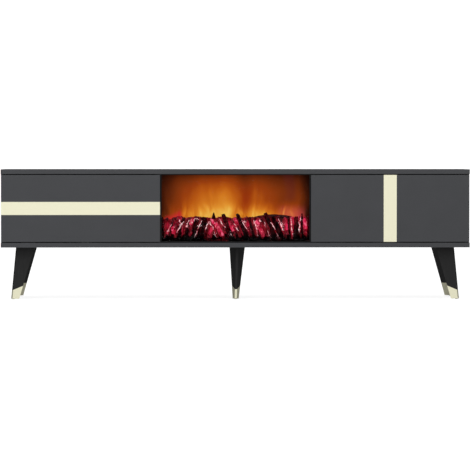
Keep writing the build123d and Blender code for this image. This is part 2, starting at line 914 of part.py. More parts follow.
for side, hand in side_names.items():
    with BuildPart() as latch_plunger:
        rod(plunger_radius, (latch_x(side), plunger_tip, latch_z),
            (latch_x(side), plunger_rear, latch_z))
        chamfer(latch_plunger.edges().sort_by(Axis.Y)[0], plunger_chamfer)
    latch_plunger.part.label = f"latch_plunger_{hand}"
    export_step(latch_plunger.part, f"parts/latch_plunger_{hand}.step")

    with BuildPart() as striker:
        striker_x = latch_x(side) + side * striker_offset
        rod(striker_radius, (striker_x, door_back, latch_z),
            (striker_x, door_back + striker_thickness, latch_z))
    striker.part.label = f"striker_{hand}"
    export_step(striker.part, f"parts/striker_{hand}.step")

    with BuildPart() as door_screws:
        for seat, into in door_leaf_screws(side) + bracket_screws(side):
            wood_screw(seat, into)
    door_screws.part.label = f"door_screws_{hand}"
    export_step(door_screws.part, f"parts/door_screws_{hand}.step")

with BuildPart() as wood_screws:
    for side in (-1, 1):
        places = back_panel_screws(side) + base_leaf_screws(side) + latch_screws(side)
        for seat, into in places + insert_screws(side) + track_screws(side):
            wood_screw(seat, into)
wood_screws.part.label = "wood_screws"
export_step(wood_screws.part, "parts/wood_screws.step")

# Fireplace insert: the front frame and its glass
with BuildPart() as fire_bezel:
    block((-bezel_half, bezel_half), (bezel_front, bezel_rear), (bezel_bottom, bezel_top))
    inner = bezel_half - bezel_wall
    block((-inner, inner), (bezel_front + bezel_lip, bezel_rear),
          (bezel_bottom + bezel_wall, bezel_top - bezel_wall), mode=Mode.SUBTRACT)
    seen = bezel_half - bezel_border
    block((-seen, seen), (bezel_front, bezel_rear),
          (bezel_bottom + bezel_border, bezel_top - bezel_top_border), mode=Mode.SUBTRACT)
fire_bezel.part.label = "fire_bezel"
export_step(fire_bezel.part, "parts/fire_bezel.step")

glass_front = bezel_front + bezel_lip
with BuildPart() as fire_glass:
    half = bezel_half - bezel_wall - glass_play
    block((-half, half), (glass_front, glass_front + glass),
          (bezel_bottom + bezel_wall, bezel_top - bezel_wall - glass_play))
fire_glass.part.label = "fire_glass"
export_step(fire_glass.part, "parts/fire_glass.step")

# The sheet steel housing and its vented rear cover
with BuildPart() as fire_housing:
    block((-housing_half, housing_half), (bezel_rear, housing_rear),
          (housing_bottom, housing_top))
    block((-chamber_half, chamber_half), (bezel_rear, housing_rear),
          (chamber_bottom, chamber_top), mode=Mode.SUBTRACT)
    for side in (-1, 1):
        for seat, into in insert_screws(side):
            screw_hole(seat, into)
fire_housing.part.label = "fire_housing"
export_step(fire_housing.part, "parts/fire_housing.step")

with BuildPart() as rear_cover:
    block((-housing_half, housing_half), (housing_rear, housing_rear + sheet),
          (housing_bottom, housing_top))
    with BuildSketch(Plane.XZ.offset(-housing_rear - sheet)):
        with Locations((0, vent_z)):
            with GridLocations(*vent_pitch, *vent_count):
                SlotOverall(*vent_size)
        with Locations((inlet_x, rear_fittings_z)):
            Rectangle(2 * inlet_half[0], 2 * inlet_half[1])
        with Locations((switch_x, rear_fittings_z)):
            Rectangle(2 * switch_half[0], 2 * switch_half[1])
    extrude(amount=sheet, mode=Mode.SUBTRACT)
rear_cover.part.label = "rear_cover"
export_step(rear_cover.part, "parts/rear_cover.step")

# The flame screen and the moulded ember bed with its logs
with BuildPart() as flame_screen:
    screen_half = chamber_half - screen_play
    block((-screen_half, screen_half), (screen_y, screen_y + screen),
          (chamber_bottom, chamber_top))
flame_screen.part.label = "flame_screen"
export_step(flame_screen.part, "parts/flame_screen.step")


def ember_profile(inset):
    """The bed's section: low at the front, high at the screen. inset makes the inside."""
    return [
        (ember_front + inset, chamber_bottom),
        (ember_front + inset, chamber_bottom + ember_front_height - inset),
        (ember_rear - inset, chamber_bottom + ember_rear_height - inset),
        (ember_rear - inset, chamber_bottom),
    ]


with BuildPart() as ember_bed:
    with BuildSketch(Plane.YZ.offset(-ember_half)):
        Polygon(*ember_profile(0), align=None)
    extrude(amount=2 * ember_half)
    for number in range(log_count):
        share = number / (log_count - 1)
        foot_x = (2 * share - 1) * (ember_half - log_inset)
        lean = log_lean * sin(number * 2.4)
        reach = log_reach * sin(number * 1.7 + 0.6)
        foot = (foot_x, ember_front + log_foot_depth, chamber_bottom + log_foot_height)
        tip = (foot_x + lean, ember_rear - log_tip_depth, chamber_bottom + log_tip_height + reach)
        rod(log_radius + log_radius_change * cos(number * 1.3), foot, tip)
    with BuildSketch(Plane.YZ.offset(-ember_half + ember_wall)):
        Polygon(*ember_profile(ember_wall), align=None)
    extrude(amount=2 * (ember_half - ember_wall), mode=Mode.SUBTRACT)
    block((-ember_half, ember_half), (ember_front, ember_rear),
          (leg_height, chamber_bottom), mode=Mode.SUBTRACT)
ember_bed.part.label = "ember_bed"
export_step(ember_bed.part, "parts/ember_bed.step")

# The flicker drive: a spindle with bent foil blades, its bearing and its motor
spindle_left = bearing_x - spindle_overhang
spindle_right = motor_x + spindle_in_motor
with BuildPart() as flicker_spindle:
    rod(spindle_radius, (spindle_left, spindle_y, spindle_z),
        (spindle_right, spindle_y, spindle_z))
    first_blade = bearing_x + blade_margin
    blade_pitch = (motor_x - blade_margin - first_blade) / blade_count
    for number in range(blade_count):
        middle = first_blade + (number + 0.5) * blade_pitch
        with Locations(Location((middle, spindle_y, spindle_z), (number * blade_turn, 0, 0))):
            Box(blade_pitch * blade_share, 2 * blade_radius, blade_sheet)
flicker_spindle.part.label = "flicker_spindle"
export_step(flicker_spindle.part, "parts/flicker_spindle.step")

with BuildPart() as spindle_bearing:
    near = bearing_x - bearing_half
    far = bearing_x + bearing_half
    block((near, far), (spindle_y - bearing_radius, spindle_y + bearing_radius),
          (chamber_bottom, spindle_z))
    block((near - bearing_foot, far),
          (spindle_y - bearing_foot_half, spindle_y + bearing_foot_half),
          (chamber_bottom, chamber_bottom + bearing_foot_sheet))
    rod(bearing_radius, (near, spindle_y, spindle_z), (far, spindle_y, spindle_z))
    rod(spindle_radius + running_clearance, (near, spindle_y, spindle_z),
        (far, spindle_y, spindle_z), mode=Mode.SUBTRACT)
spindle_bearing.part.label = "spindle_bearing"
export_step(spindle_bearing.part, "parts/spindle_bearing.step")

with BuildPart() as flicker_motor:
    rod(motor_radius, (motor_x, spindle_y, spindle_z),
        (motor_x + motor_length, spindle_y, spindle_z))
    bracket = (spindle_y - motor_bracket_half, spindle_y + motor_bracket_half)
    block((motor_x, motor_x + motor_bracket_sheet), bracket, (chamber_bottom, spindle_z))
    block((motor_x, motor_x + motor_foot), bracket,
          (chamber_bottom, chamber_bottom + motor_bracket_sheet))
    rod(spindle_radius + running_clearance, (motor_x, spindle_y, spindle_z),
        (spindle_right + bore_play, spindle_y, spindle_z), mode=Mode.SUBTRACT)
flicker_motor.part.label = "flicker_motor"
export_step(flicker_motor.part, "parts/flicker_motor.step")

# Electrics
with BuildPart() as led_boards:
    lamp_bottom = chamber_bottom + circuit_board
    for y in (ember_front + lamp_board_front, screen_y + lamp_board_rear):
        block(lamp_board_x, (y - lamp_board_half, y + lamp_board_half),
              (chamber_bottom, lamp_bottom))
        for number in range(lamp_count):
            x = lamp_start + number * lamp_pitch
            block((x - lamp_half, x + lamp_half), (y - lamp_half, y + lamp_half),
                  (lamp_bottom, lamp_bottom + lamp_height))
led_boards.part.label = "led_boards"
export_step(led_boards.part, "parts/led_boards.step")

with BuildPart() as control_board:
    board_y = housing_rear - control_distance
    block(control_x, (board_y, board_y + circuit_board), control_z)
    for x in (control_x[0] + control_post_inset, control_x[1] - control_post_inset):
        for z in (control_z[0] + control_post_inset, control_z[1] - control_post_inset):
            rod(control_post_radius, (x, board_y + circuit_board, z), (x, housing_rear, z))
    for x, z, height in (relay, chip):
        block(x, (board_y - height, board_y), z)
    x, z = capacitor
    rod(capacitor_radius, (x, board_y, z), (x, board_y - capacitor_height, z))
control_board.part.label = "control_board"
export_step(control_board.part, "parts/control_board.step")

with BuildPart() as power_supply:
    supply_front, supply_rear = [housing_rear - distance for distance in supply_depth]
    block(supply_x, (supply_front, supply_rear), (chamber_bottom, supply_top))
    fillet(power_supply.edges().filter_by(Axis.Z), supply_round)
power_supply.part.label = "power_supply"
export_step(power_supply.part, "parts/power_supply.step")

inlet_face = housing_rear + sheet


def fitting_block(x, half, y, mode=Mode.ADD):
    """A block of a rear fitting, centred on x and on the fittings' height."""
    block((x - half[0], x + half[0]), y,
          (rear_fittings_z - half[1], rear_fittings_z + half[1]), mode=mode)


with BuildPart() as mains_inlet:
    fitting_block(inlet_x, inlet_half, (inlet_face - inlet_body, inlet_face))
    fitting_block(inlet_x, inlet_flange_half, (inlet_face, inlet_face + inlet_flange))
    fitting_block(inlet_x, inlet_socket_half,
                  (inlet_face - inlet_socket, inlet_face + inlet_flange), mode=Mode.SUBTRACT)
    for across, up in inlet_pins:
        x = inlet_x + across
        z = rear_fittings_z + up
        block((x - inlet_pin_half[0], x + inlet_pin_half[0]),
              (inlet_face - inlet_pin_root, inlet_face - inlet_pin_tip),
              (z - inlet_pin_half[1], z + inlet_pin_half[1]))
mains_inlet.part.label = "mains_inlet"
export_step(mains_inlet.part, "parts/mains_inlet.step")


def rocker_pivot(radius, half, mode=Mode.ADD):
    rod(radius, (switch_x - half, inlet_face, rear_fittings_z),
        (switch_x + half, inlet_face, rear_fittings_z), mode=mode)


with BuildPart() as switch_body:
    fitting_block(switch_x, switch_half, (inlet_face - switch_body_depth, inlet_face))
    fitting_block(switch_x, switch_flange_half, (inlet_face, inlet_face + switch_flange))
    fitting_block(switch_x, switch_well_half,
                  (inlet_face - switch_well, inlet_face + switch_flange), mode=Mode.SUBTRACT)
    rocker_pivot(rocker_pivot_radius + running_clearance, rocker_pivot_half + pivot_end_play,
                 mode=Mode.SUBTRACT)
switch_body.part.label = "switch_body"
export_step(switch_body.part, "parts/switch_body.step")

rocker_plane = Plane(
    origin=(switch_x - rocker_half[0], inlet_face, rear_fittings_z),
    x_dir=(0, cos(radians(rocker_tilt)), -sin(radians(rocker_tilt))),
    z_dir=(1, 0, 0),
)
with BuildPart() as rocker:
    with BuildSketch(rocker_plane):
        with BuildLine():
            Polyline(
                (-rocker_back, -rocker_half[1]),
                (-rocker_back, rocker_half[1]),
                (rocker_nose, rocker_half[1]),
                (rocker_waist, 0),
                (rocker_nose, -rocker_half[1]),
                close=True,
            )
        make_face()
    extrude(amount=2 * rocker_half[0])
    rocker_pivot(rocker_pivot_radius, rocker_pivot_half)
rocker.part.label = "rocker"
export_step(rocker.part, "parts/rocker.step")
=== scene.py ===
"""TV stand with a flame effect fireplace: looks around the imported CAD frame. Metres."""

import json
import math
import random

import bmesh
import bpy
from mathutils import Matrix, Vector, noise


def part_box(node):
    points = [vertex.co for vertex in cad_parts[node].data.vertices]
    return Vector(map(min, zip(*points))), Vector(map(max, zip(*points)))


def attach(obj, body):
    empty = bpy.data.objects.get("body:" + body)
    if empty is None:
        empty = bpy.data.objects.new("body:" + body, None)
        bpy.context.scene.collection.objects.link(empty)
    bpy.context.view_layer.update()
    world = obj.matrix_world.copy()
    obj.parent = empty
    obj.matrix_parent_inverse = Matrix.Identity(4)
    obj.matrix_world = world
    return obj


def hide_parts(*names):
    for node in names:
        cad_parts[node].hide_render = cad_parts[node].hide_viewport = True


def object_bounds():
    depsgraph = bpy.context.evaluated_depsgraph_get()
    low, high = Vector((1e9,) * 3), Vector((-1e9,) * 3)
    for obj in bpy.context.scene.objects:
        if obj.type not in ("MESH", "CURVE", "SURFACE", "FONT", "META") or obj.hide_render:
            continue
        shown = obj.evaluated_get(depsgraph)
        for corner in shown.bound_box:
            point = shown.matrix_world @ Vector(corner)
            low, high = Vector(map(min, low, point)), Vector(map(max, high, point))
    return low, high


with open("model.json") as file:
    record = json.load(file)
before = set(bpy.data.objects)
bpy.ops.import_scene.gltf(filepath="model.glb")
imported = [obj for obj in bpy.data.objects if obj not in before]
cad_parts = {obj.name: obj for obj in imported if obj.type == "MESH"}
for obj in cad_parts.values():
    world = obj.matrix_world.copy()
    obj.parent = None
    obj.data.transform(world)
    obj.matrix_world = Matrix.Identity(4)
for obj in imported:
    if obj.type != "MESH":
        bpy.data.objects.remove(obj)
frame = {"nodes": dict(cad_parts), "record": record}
cad_box = [list(corner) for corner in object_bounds()]
nodes = frame["nodes"]

# Places in the frame that the fire is built on
screen_low, screen_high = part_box("flame_screen")
bed_low, bed_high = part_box("ember_bed")
bed_left, bed_front, bed_floor = bed_low
bed_right, bed_rear, _ = bed_high
bed_width = bed_right - bed_left

rng = random.Random(7)


# Colours
def linear(red, green, blue):
    """A display colour of 0 to 255 as a linear RGBA colour."""
    def channel(value):
        value = value / 255
        return value / 12.92 if value <= 0.04045 else ((value + 0.055) / 1.055) ** 2.4

    return (channel(red), channel(green), channel(blue), 1.0)


def grey(value):
    return (value, value, value, 1.0)


def scaled(colour, factor):
    return tuple(channel * factor for channel in colour[:3]) + (1.0,)


# Most of a noise pattern lies between these values
noise_low, noise_high = 0.3, 0.7


# Node helpers
class Nodes:
    """Short ways to add nodes to a tree."""

    def __init__(self, tree):
        self.tree = tree

    def add(self, kind, **settings):
        node = self.tree.nodes.new(kind)
        for key, value in settings.items():
            setattr(node, key, value)
        return node

    def put(self, socket, value):
        """Connects an output to a socket, or sets the socket's own value."""
        if isinstance(value, bpy.types.NodeSocket):
            self.tree.links.new(value, socket)
        else:
            socket.default_value = value

    def math(self, operation, first, second=0.0):
        node = self.add("ShaderNodeMath", operation=operation)
        self.put(node.inputs[0], first)
        self.put(node.inputs[1], second)
        return node.outputs[0]

    def plus(self, first, second):
        return self.math("ADD", first, second)

    def minus(self, first, second):
        return self.math("SUBTRACT", first, second)

    def times(self, first, *others):
        for other in others:
            first = self.math("MULTIPLY", first, other)
        return first

    def split(self, vector):
        """The x, y and z outputs of a vector."""
        node = self.add("ShaderNodeSeparateXYZ")
        self.put(node.inputs[0], vector)
        return node.outputs

    def ramp(self, value, stops):
        node = self.add("ShaderNodeValToRGB")
        node.color_ramp.interpolation = "LINEAR"
        while len(node.color_ramp.elements) < len(stops):
            node.color_ramp.elements.new(0.5)
        for element, (position, colour) in zip(node.color_ramp.elements, stops):
            element.position = position
            element.color = colour
        self.put(node.inputs[0], value)
        return node.outputs["Color"]

    def mix(self, share, first, second):
        node = self.add("ShaderNodeMix", data_type="RGBA")
        self.put(node.inputs["Factor"], share)
        self.put(node.inputs["A"], first)
        self.put(node.inputs["B"], second)
        return node.outputs["Result"]


class Shader(Nodes):
    """A material and the nodes that its surface needs."""

    def __init__(self, name):
        self.material = bpy.data.materials.new(name)
        self.material.use_nodes = True
        super().__init__(self.material.node_tree)
        self.surface = self.tree.nodes["Principled BSDF"]

    def set(self, **values):
        """Sets sockets of the Principled shader, named with _ for a space."""
        for key, value in values.items():
            self.put(self.surface.inputs[key.replace("_", " ")], value)

    def spread(self, value, low, high, to_low=0.0, to_high=1.0):
        """Maps low..high to to_low..to_high, smoothly and clamped."""
        node = self.add("ShaderNodeMapRange", interpolation_type="SMOOTHSTEP")
        self.put(node.inputs["Value"], value)
        node.inputs["From Min"].default_value = low
        node.inputs["From Max"].default_value = high
        node.inputs["To Min"].default_value = to_low
        node.inputs["To Max"].default_value = to_high
        return node.outputs["Result"]

    def band(self, value, start, low, high, end):
        """1 from low to high, falling smoothly to 0 at start and at end."""
        return self.times(self.spread(value, start, low), self.spread(value, end, high))

    def beside(self, value, middle, outer, inner):
        """1 within inner of the middle, falling smoothly to 0 at outer."""
        away = self.math("ABSOLUTE", self.minus(value, middle))
        return self.spread(away, outer, inner)

    def place(self, scale=(1, 1, 1), moved=None):
        """Object coordinates, stretched, and shifted by another vector if given."""
        source = self.add("ShaderNodeTexCoord").outputs["Object"]
        if moved is not None:
            shift = self.add("ShaderNodeVectorMath", operation="ADD")
            self.put(shift.inputs[0], source)
            self.put(shift.inputs[1], moved)
            source = shift.outputs[0]
        node = self.add("ShaderNodeMapping")
        self.put(node.inputs["Vector"], source)
        node.inputs["Scale"].default_value = scale
        return node.outputs[0]

    def height(self):
        """The height above the ember bed's floor."""
        return self.minus(self.split(self.place())[2], bed_floor)

    def noise(self, where, scale=1.0, detail=3.0, rough=0.55, twist=0.0):
        node = self.add("ShaderNodeTexNoise")
        self.put(node.inputs["Vector"], where)
        node.inputs["Scale"].default_value = scale
        node.inputs["Detail"].default_value = detail
        node.inputs["Roughness"].default_value = rough
        node.inputs["Distortion"].default_value = twist
        return node.outputs["Fac"]

    def cells(self, where, scale):
        """The distance to the nearest edge in a pattern of cells."""
        node = self.add("ShaderNodeTexVoronoi", feature="DISTANCE_TO_EDGE")
        self.put(node.inputs["Vector"], where)
        node.inputs["Scale"].default_value = scale
        return node.outputs["Distance"]

    def tint(self, pattern, dark, light, high=noise_high):
        """Colours the surface from dark to light along a noise pattern."""
        self.set(Base_Color=self.ramp(pattern, [(noise_low, dark), (high, light)]))

    def roughen(self, pattern, low, high):
        """Takes the surface's roughness from low to high along a noise pattern."""
        self.set(Roughness=self.spread(pattern, noise_low, noise_high, low, high))

    def bump(self, height, strength, distance):
        node = self.add("ShaderNodeBump")
        node.inputs["Strength"].default_value = strength
        node.inputs["Distance"].default_value = distance
        self.put(node.inputs["Height"], height)
        self.put(self.surface.inputs["Normal"], node.outputs[0])

    def glow(self, colour):
        """Gives off the colour as light."""
        self.set(Emission_Color=colour, Emission_Strength=1.0)


# Materials of the furniture
def melamine():
    """Matt anthracite laminate with a fine pearl texture."""
    s = Shader("anthracite_melamine")
    base = linear(51, 52, 55)
    cloud = s.noise(s.place(), scale=9.0, detail=2.0)
    fine = s.noise(s.place(), scale=900.0, detail=2.0)
    tone = s.plus(s.times(cloud, 0.5), s.times(fine, 0.5))
    s.tint(tone, scaled(base, 0.92), scaled(base, 1.08))
    s.roughen(fine, 0.5, 0.62)
    s.set(Specular_IOR_Level=0.4)
    s.bump(fine, strength=0.25, distance=0.0004)
    return s.material


def hardboard():
    """Thin back panel: lacquered fibreboard."""
    s = Shader("hardboard")
    fibre = s.noise(s.place(), scale=260.0, detail=4.0)
    base = linear(52, 52, 55)
    s.tint(fibre, scaled(base, 0.8), scaled(base, 1.2))
    s.set(Roughness=0.7)
    s.bump(fibre, strength=0.3, distance=0.0003)
    return s.material


def pale_gold(name, along, metal):
    """Satin cream gold, very lightly brushed along one axis. metal is its share of metal."""
    s = Shader(name)
    stretch = [700.0] * 3
    stretch[along] = 6.0
    brushed = s.noise(s.place(stretch), detail=2.0)
    base = linear(231, 228, 200)
    s.tint(brushed, scaled(base, 0.988), base)
    s.roughen(brushed, 0.28, 0.30)
    s.set(Metallic=metal)
    return s.material


def leg_lacquer():
    """Black lacquered leg with a faint grain under the finish."""
    s = Shader("leg_lacquer")
    grain = s.noise(s.place((220, 220, 12)), detail=4.0, twist=0.4)
    s.tint(grain, grey(0.007), grey(0.012), high=0.75)
    s.roughen(grain, 0.42, 0.52)
    s.set(Specular_IOR_Level=0.2)
    s.bump(grain, strength=0.12, distance=0.0003)
    return s.material


def black_steel():
    """Powder coated sheet steel."""
    s = Shader("black_steel")
    pits = s.noise(s.place(), scale=1400.0, detail=2.0)
    s.tint(pits, grey(0.002), grey(0.004))
    s.roughen(pits, 0.5, 0.65)
    s.set(Specular_IOR_Level=0.12)
    s.bump(pits, strength=0.2, distance=0.0003)
    return s.material


def black_plastic():
    s = Shader("black_plastic")
    grain = s.noise(s.place(), scale=1100.0, detail=1.0)
    s.tint(grain, grey(0.012), grey(0.02))
    s.roughen(grain, 0.4, 0.55)
    s.bump(grain, strength=0.2, distance=0.0002)
    return s.material


def zinc():
    """Zinc plated steel."""
    s = Shader("zinc_plate")
    spangle = s.noise(s.place(), scale=400.0)
    s.tint(spangle, grey(0.30), grey(0.46))
    s.roughen(spangle, 0.32, 0.46)
    s.set(Metallic=1.0)
    return s.material


def foil():
    """The dented mirror foil of the flicker blades."""
    s = Shader("foil")
    dents = s.noise(s.place(), scale=90.0, detail=2.0)
    s.tint(dents, grey(0.8), grey(0.9))
    s.set(Metallic=1.0, Roughness=0.12)
    s.bump(dents, strength=0.4, distance=0.001)
    return s.material


def beech():
    s = Shader("beech")
    grain = s.noise(s.place((300, 300, 20)), detail=4.0)
    s.tint(grain, linear(196, 160, 118), linear(222, 190, 150))
    s.set(Roughness=0.6)
    return s.material


def solder_mask():
    """Green circuit board with lighter lines for its tracks."""
    s = Shader("solder_mask")
    tracks = s.cells(s.place(), scale=160.0)
    s.set(Base_Color=s.ramp(tracks, [(0.03, linear(40, 120, 70)), (0.08, linear(14, 66, 34))]))
    s.set(Roughness=0.35)
    return s.material


def clear_glass():
    """Clear low-reflection pane."""
    s = Shader("fire_glass")
    s.set(Base_Color=(1, 1, 1, 1), Transmission_Weight=1.0, Roughness=0.0, IOR=1.03)
    return s.material


# The flame picture. An x is from the middle, and a height is above the ember bed's floor.

# Heat across the screen: share of its width and heat
heat_across = [
    (0.0, 0.20), (0.05, 0.44), (0.14, 0.74), (0.3, 0.96), (0.42, 1.0), (0.49, 0.95), (0.56, 0.70),
    (0.63, 0.88), (0.70, 0.82), (0.80, 0.60), (0.91, 0.58), (0.955, 0.30), (1.0, 0.12),
]

# Colour of each heat
heat_colours = [
    (0.0, linear(8, 2, 2)), (0.12, linear(32, 11, 5)), (0.25, linear(64, 23, 7)),
    (0.4, linear(105, 42, 11)), (0.58, linear(150, 61, 14)), (0.7, linear(181, 86, 18)),
    (0.8, linear(205, 116, 30)), (0.88, linear(223, 146, 47)), (1.0, linear(236, 190, 84)),
]

# Narrow flames: foot x and height, tip x and height, half width and added heat
flame_tongues = [
    ((0.034, 0.098), (-0.016, 0.142), 0.009, 0.05),
    ((-0.052, 0.098), (-0.084, 0.146), 0.008, 0.02),
    ((-0.098, 0.098), (-0.082, 0.132), 0.007, 0.05),
    ((0.004, 0.098), (0.012, 0.126), 0.010, 0.04),
    ((0.188, 0.102), (0.194, 0.146), 0.007, 0.22),
    ((0.222, 0.098), (0.204, 0.130), 0.012, 0.12),
]

# The flames' foot, the reach of the lowest ones, how fast heat fades upwards, how far above the
# screen's top none is left, and the most heat
flame_foot = 0.102
flame_reach = 0.165
flame_fade = 0.040
cold_margin = 0.022
most_heat = 0.83


def flame_heat(s, x, height):
    """Heat that falls towards the top and both ends, and is higher again at the flames' foot."""
    cold_height = screen_high[2] - bed_floor + cold_margin
    cooling = s.math("EXPONENT", s.math("DIVIDE", s.minus(cold_height, height), -flame_fade))
    rise = s.times(s.minus(1.0, cooling), most_heat)
    screen_width = screen_high[0] - screen_low[0]
    share = s.math("DIVIDE", s.minus(x, screen_low[0]), screen_width)
    across = s.ramp(share, [(position, grey(heat)) for position, heat in heat_across])
    lowest = s.times(s.spread(height, flame_reach, flame_foot), s.band(x, -0.27, -0.24, 0.22, 0.25),
                     s.spread(x, 0.01, 0.08, to_low=0.115, to_high=0.23))
    return s.plus(s.times(rise, across), lowest)


def flame_streaks(s, sway, scale, detail, strength):
    """Streaks that add and take heat, long in z."""
    pattern = s.noise(s.place(scale, moved=sway), detail=detail, twist=0.6)
    return s.times(s.minus(pattern, 0.5), strength)


def flame_tongue(s, x, height, foot, tip, half, strength):
    """A narrow flame that leans from its foot to its tip."""
    span = Vector(tip) - Vector(foot)
    along = span.normalized()
    off_x = s.minus(x, foot[0])
    off_height = s.minus(height, foot[1])
    aside = s.minus(s.times(off_x, along.y), s.times(off_height, along.x))
    far = s.plus(s.times(off_x, along.x), s.times(off_height, along.y))
    return s.times(s.beside(aside, 0.0, half, 0.0), s.spread(far, span.length, 0.3 * span.length),
                   s.spread(far, -half, half, 0.0, strength))


def flame_washes(s, x, height, licks):
    """What tints the flames: each with a mask, a strength and a colour."""
    red_streak = s.times(s.beside(x, 0.036, 0.034, 0.006), s.band(height, 0.105, 0.140, 0.160, 0.250))
    smoke = s.times(s.beside(x, 0.200, 0.030, 0.004), s.spread(height, 0.145, 0.175))
    uneven = s.plus(height, s.times(licks, 0.05))
    slope = s.times(s.math("ABSOLUTE", s.plus(x, 0.216)), 0.55)
    left_light = s.times(s.spread(s.plus(uneven, slope), 0.130, flame_foot),
                         s.spread(x, -0.180, -0.212))
    right_light = s.times(s.spread(uneven, 0.152, flame_foot), s.band(x, 0.150, 0.200, 0.240, 0.270))
    return [
        (red_streak, 0.4, linear(150, 36, 8)),
        (smoke, 0.3, linear(84, 30, 36)),
        (left_light, 0.85, linear(196, 36, 42)),
        (right_light, 0.5, linear(196, 70, 76)),
    ]


def flames():
    """The lit flame screen: heat in rising streaks, tinted by smoke and the light of the embers."""
    s = Shader("flame_screen")
    drift = s.noise(s.place((6, 1, 4)), detail=2.0)
    sideways = s.add("ShaderNodeCombineXYZ")
    s.put(sideways.inputs[0], s.times(s.minus(drift, 0.5), 0.09))
    sway = sideways.outputs[0]
    x, _, z = s.split(s.place(moved=sway))
    height = s.minus(z, bed_floor)

    heat = flame_heat(s, x, height)
    broad = flame_streaks(s, sway, scale=(18, 1, 4), detail=3.0, strength=0.36)
    licks = flame_streaks(s, sway, scale=(40, 1, 12), detail=2.0, strength=0.38)
    heat = s.plus(heat, s.times(broad, heat))
    heat = s.plus(heat, s.times(licks, s.spread(height, flame_reach, 0.105)))
    for tongue in flame_tongues:
        heat = s.plus(heat, flame_tongue(s, x, height, *tongue))
    colour = s.ramp(heat, heat_colours)
    for mask, strength, wash in flame_washes(s, x, height, licks):
        colour = s.mix(s.times(mask, strength), colour, wash)
    s.set(Base_Color=grey(0.001), Roughness=0.8, Specular_IOR_Level=0.0)
    s.glow(colour)
    return s.material


# Materials of the embers
def ember_glow(name, tones, rim):
    """Resin lit from inside: four tones from crust to core, and a few pale cracks."""
    s = Shader(name)
    blotch = s.noise(s.place((1, 1, 0.6)), scale=60.0)
    crust = s.noise(s.place((1, 1, 0.5)), scale=150.0, detail=4.0, rough=0.65)
    island = s.add("ShaderNodeNewGeometry").outputs["Random Per Island"]
    tone = s.plus(blotch, s.times(s.minus(island, 0.5), 0.24))
    tone_steps = (0.30, 0.44, 0.56, 0.72)
    body = s.ramp(tone, list(zip(tone_steps, tones)))
    body = s.mix(s.spread(crust, 0.54, 0.70), body, tones[0])
    cracks = s.spread(s.cells(s.place((1.0, 1.0, 0.3)), scale=75.0), 0.06, 0.0)
    body = s.mix(s.times(cracks, s.spread(crust, 0.50, 0.38)), body, rim)
    uneven = s.plus(s.height(), s.times(blotch, 0.024))
    s.set(Base_Color=grey(0.002), Roughness=0.5, Specular_IOR_Level=0.1)
    s.glow(s.mix(s.spread(uneven, 0.008, 0.058), linear(3, 2, 2), body))
    s.bump(crust, strength=0.5, distance=0.001)
    return s.material


def hot_edge():
    """The glowing rims where the sticks lie on the embers."""
    s = Shader("ember_rim")
    body = s.ramp(s.noise(s.place(), scale=140.0), [
        (0.36, linear(150, 16, 40)), (0.46, linear(232, 110, 128)), (0.58, linear(255, 224, 224))])
    lit = s.spread(s.height(), 0.010, 0.042, to_low=0.05)
    s.set(Base_Color=grey(0.01), Roughness=0.6)
    s.glow(s.mix(lit, linear(20, 4, 8), body))
    return s.material


def charcoal():
    """Burnt wood: black and cracked, with a dull red light on it and in a few cracks."""
    s = Shader("charcoal")
    bark = s.noise(s.place((1, 1, 0.4)), scale=160.0, detail=5.0, rough=0.65)
    cracks = s.spread(s.cells(s.place(), scale=130.0), 0.05, 0.0)
    patch = s.spread(s.noise(s.place(), scale=22.0, detail=1.0), 0.56, 0.7)
    s.tint(bark, grey(0.0005), grey(0.004))
    s.set(Roughness=0.9, Specular_IOR_Level=0.05)
    dull = s.times(s.spread(bark, 0.42, 0.62), s.spread(s.height(), 0.015, 0.065))
    red = s.mix(dull, grey(0.0), linear(58, 4, 10))
    s.glow(s.mix(s.times(cracks, patch), red, linear(150, 14, 30)))
    s.bump(bark, strength=0.8, distance=0.002)
    return s.material


plastic = black_plastic()
charred = charcoal()
axis_x, axis_z = 0, 2
strip_metal = 0.35
by_slot = {
    "anthracite_board": melamine(),
    "gold_strip": pale_gold("gold_strip", axis_x, strip_metal),
    "leg_gold": pale_gold("leg_gold", axis_z, 1.0),
    "leg_black": leg_lacquer(),
    "back_board": hardboard(),
    "zinc": zinc(),
    "dowel_wood": beech(),
    "glide_plastic": plastic,
    "black_plastic": plastic,
    "black_steel": black_steel(),
    "fire_glass": clear_glass(),
    "flame_screen": flames(),
    "embers": charred,
    "foil": foil(),
    "circuit": solder_mask(),
}
for row in frame["record"]["subparts"]:
    for place in nodes[row["node"]].material_slots:
        place.material = by_slot[row["material_slot"]]
for place in nodes["strip_vertical"].material_slots:
    place.material = pale_gold("gold_strip_upright", axis_z, strip_metal)


# Tools for the pieces
def finish_piece(name, bm, material, smooth=False):
    """Turns a bmesh into an object of the fireplace that rides on the cabinet."""
    mesh = bpy.data.meshes.new(name)
    bmesh.ops.recalc_face_normals(bm, faces=bm.faces)
    bm.to_mesh(mesh)
    bm.free()
    piece = bpy.data.objects.new(name, mesh)
    bpy.context.scene.collection.objects.link(piece)
    mesh.materials.append(material)
    for polygon in mesh.polygons:
        polygon.use_smooth = smooth
    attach(piece, "cabinet")
    return piece


def bed_point(x, depth, height):
    """A point by its x, depth behind the bed's front edge and height above its floor."""
    return Vector((x, bed_front + depth, bed_floor + height))


def turned_to(direction):
    return direction.to_track_quat("Z", "Y").to_matrix().to_4x4()


def weave(bm, lines, turned=False):
    """Four-sided faces between each line of vertices and the next. turned winds them backwards."""
    for low, high in zip(lines, lines[1:]):
        for index in range(len(low) - 1):
            left, right = (index + 1, index) if turned else (index, index + 1)
            bm.faces.new((low[left], low[right], high[right], high[left]))


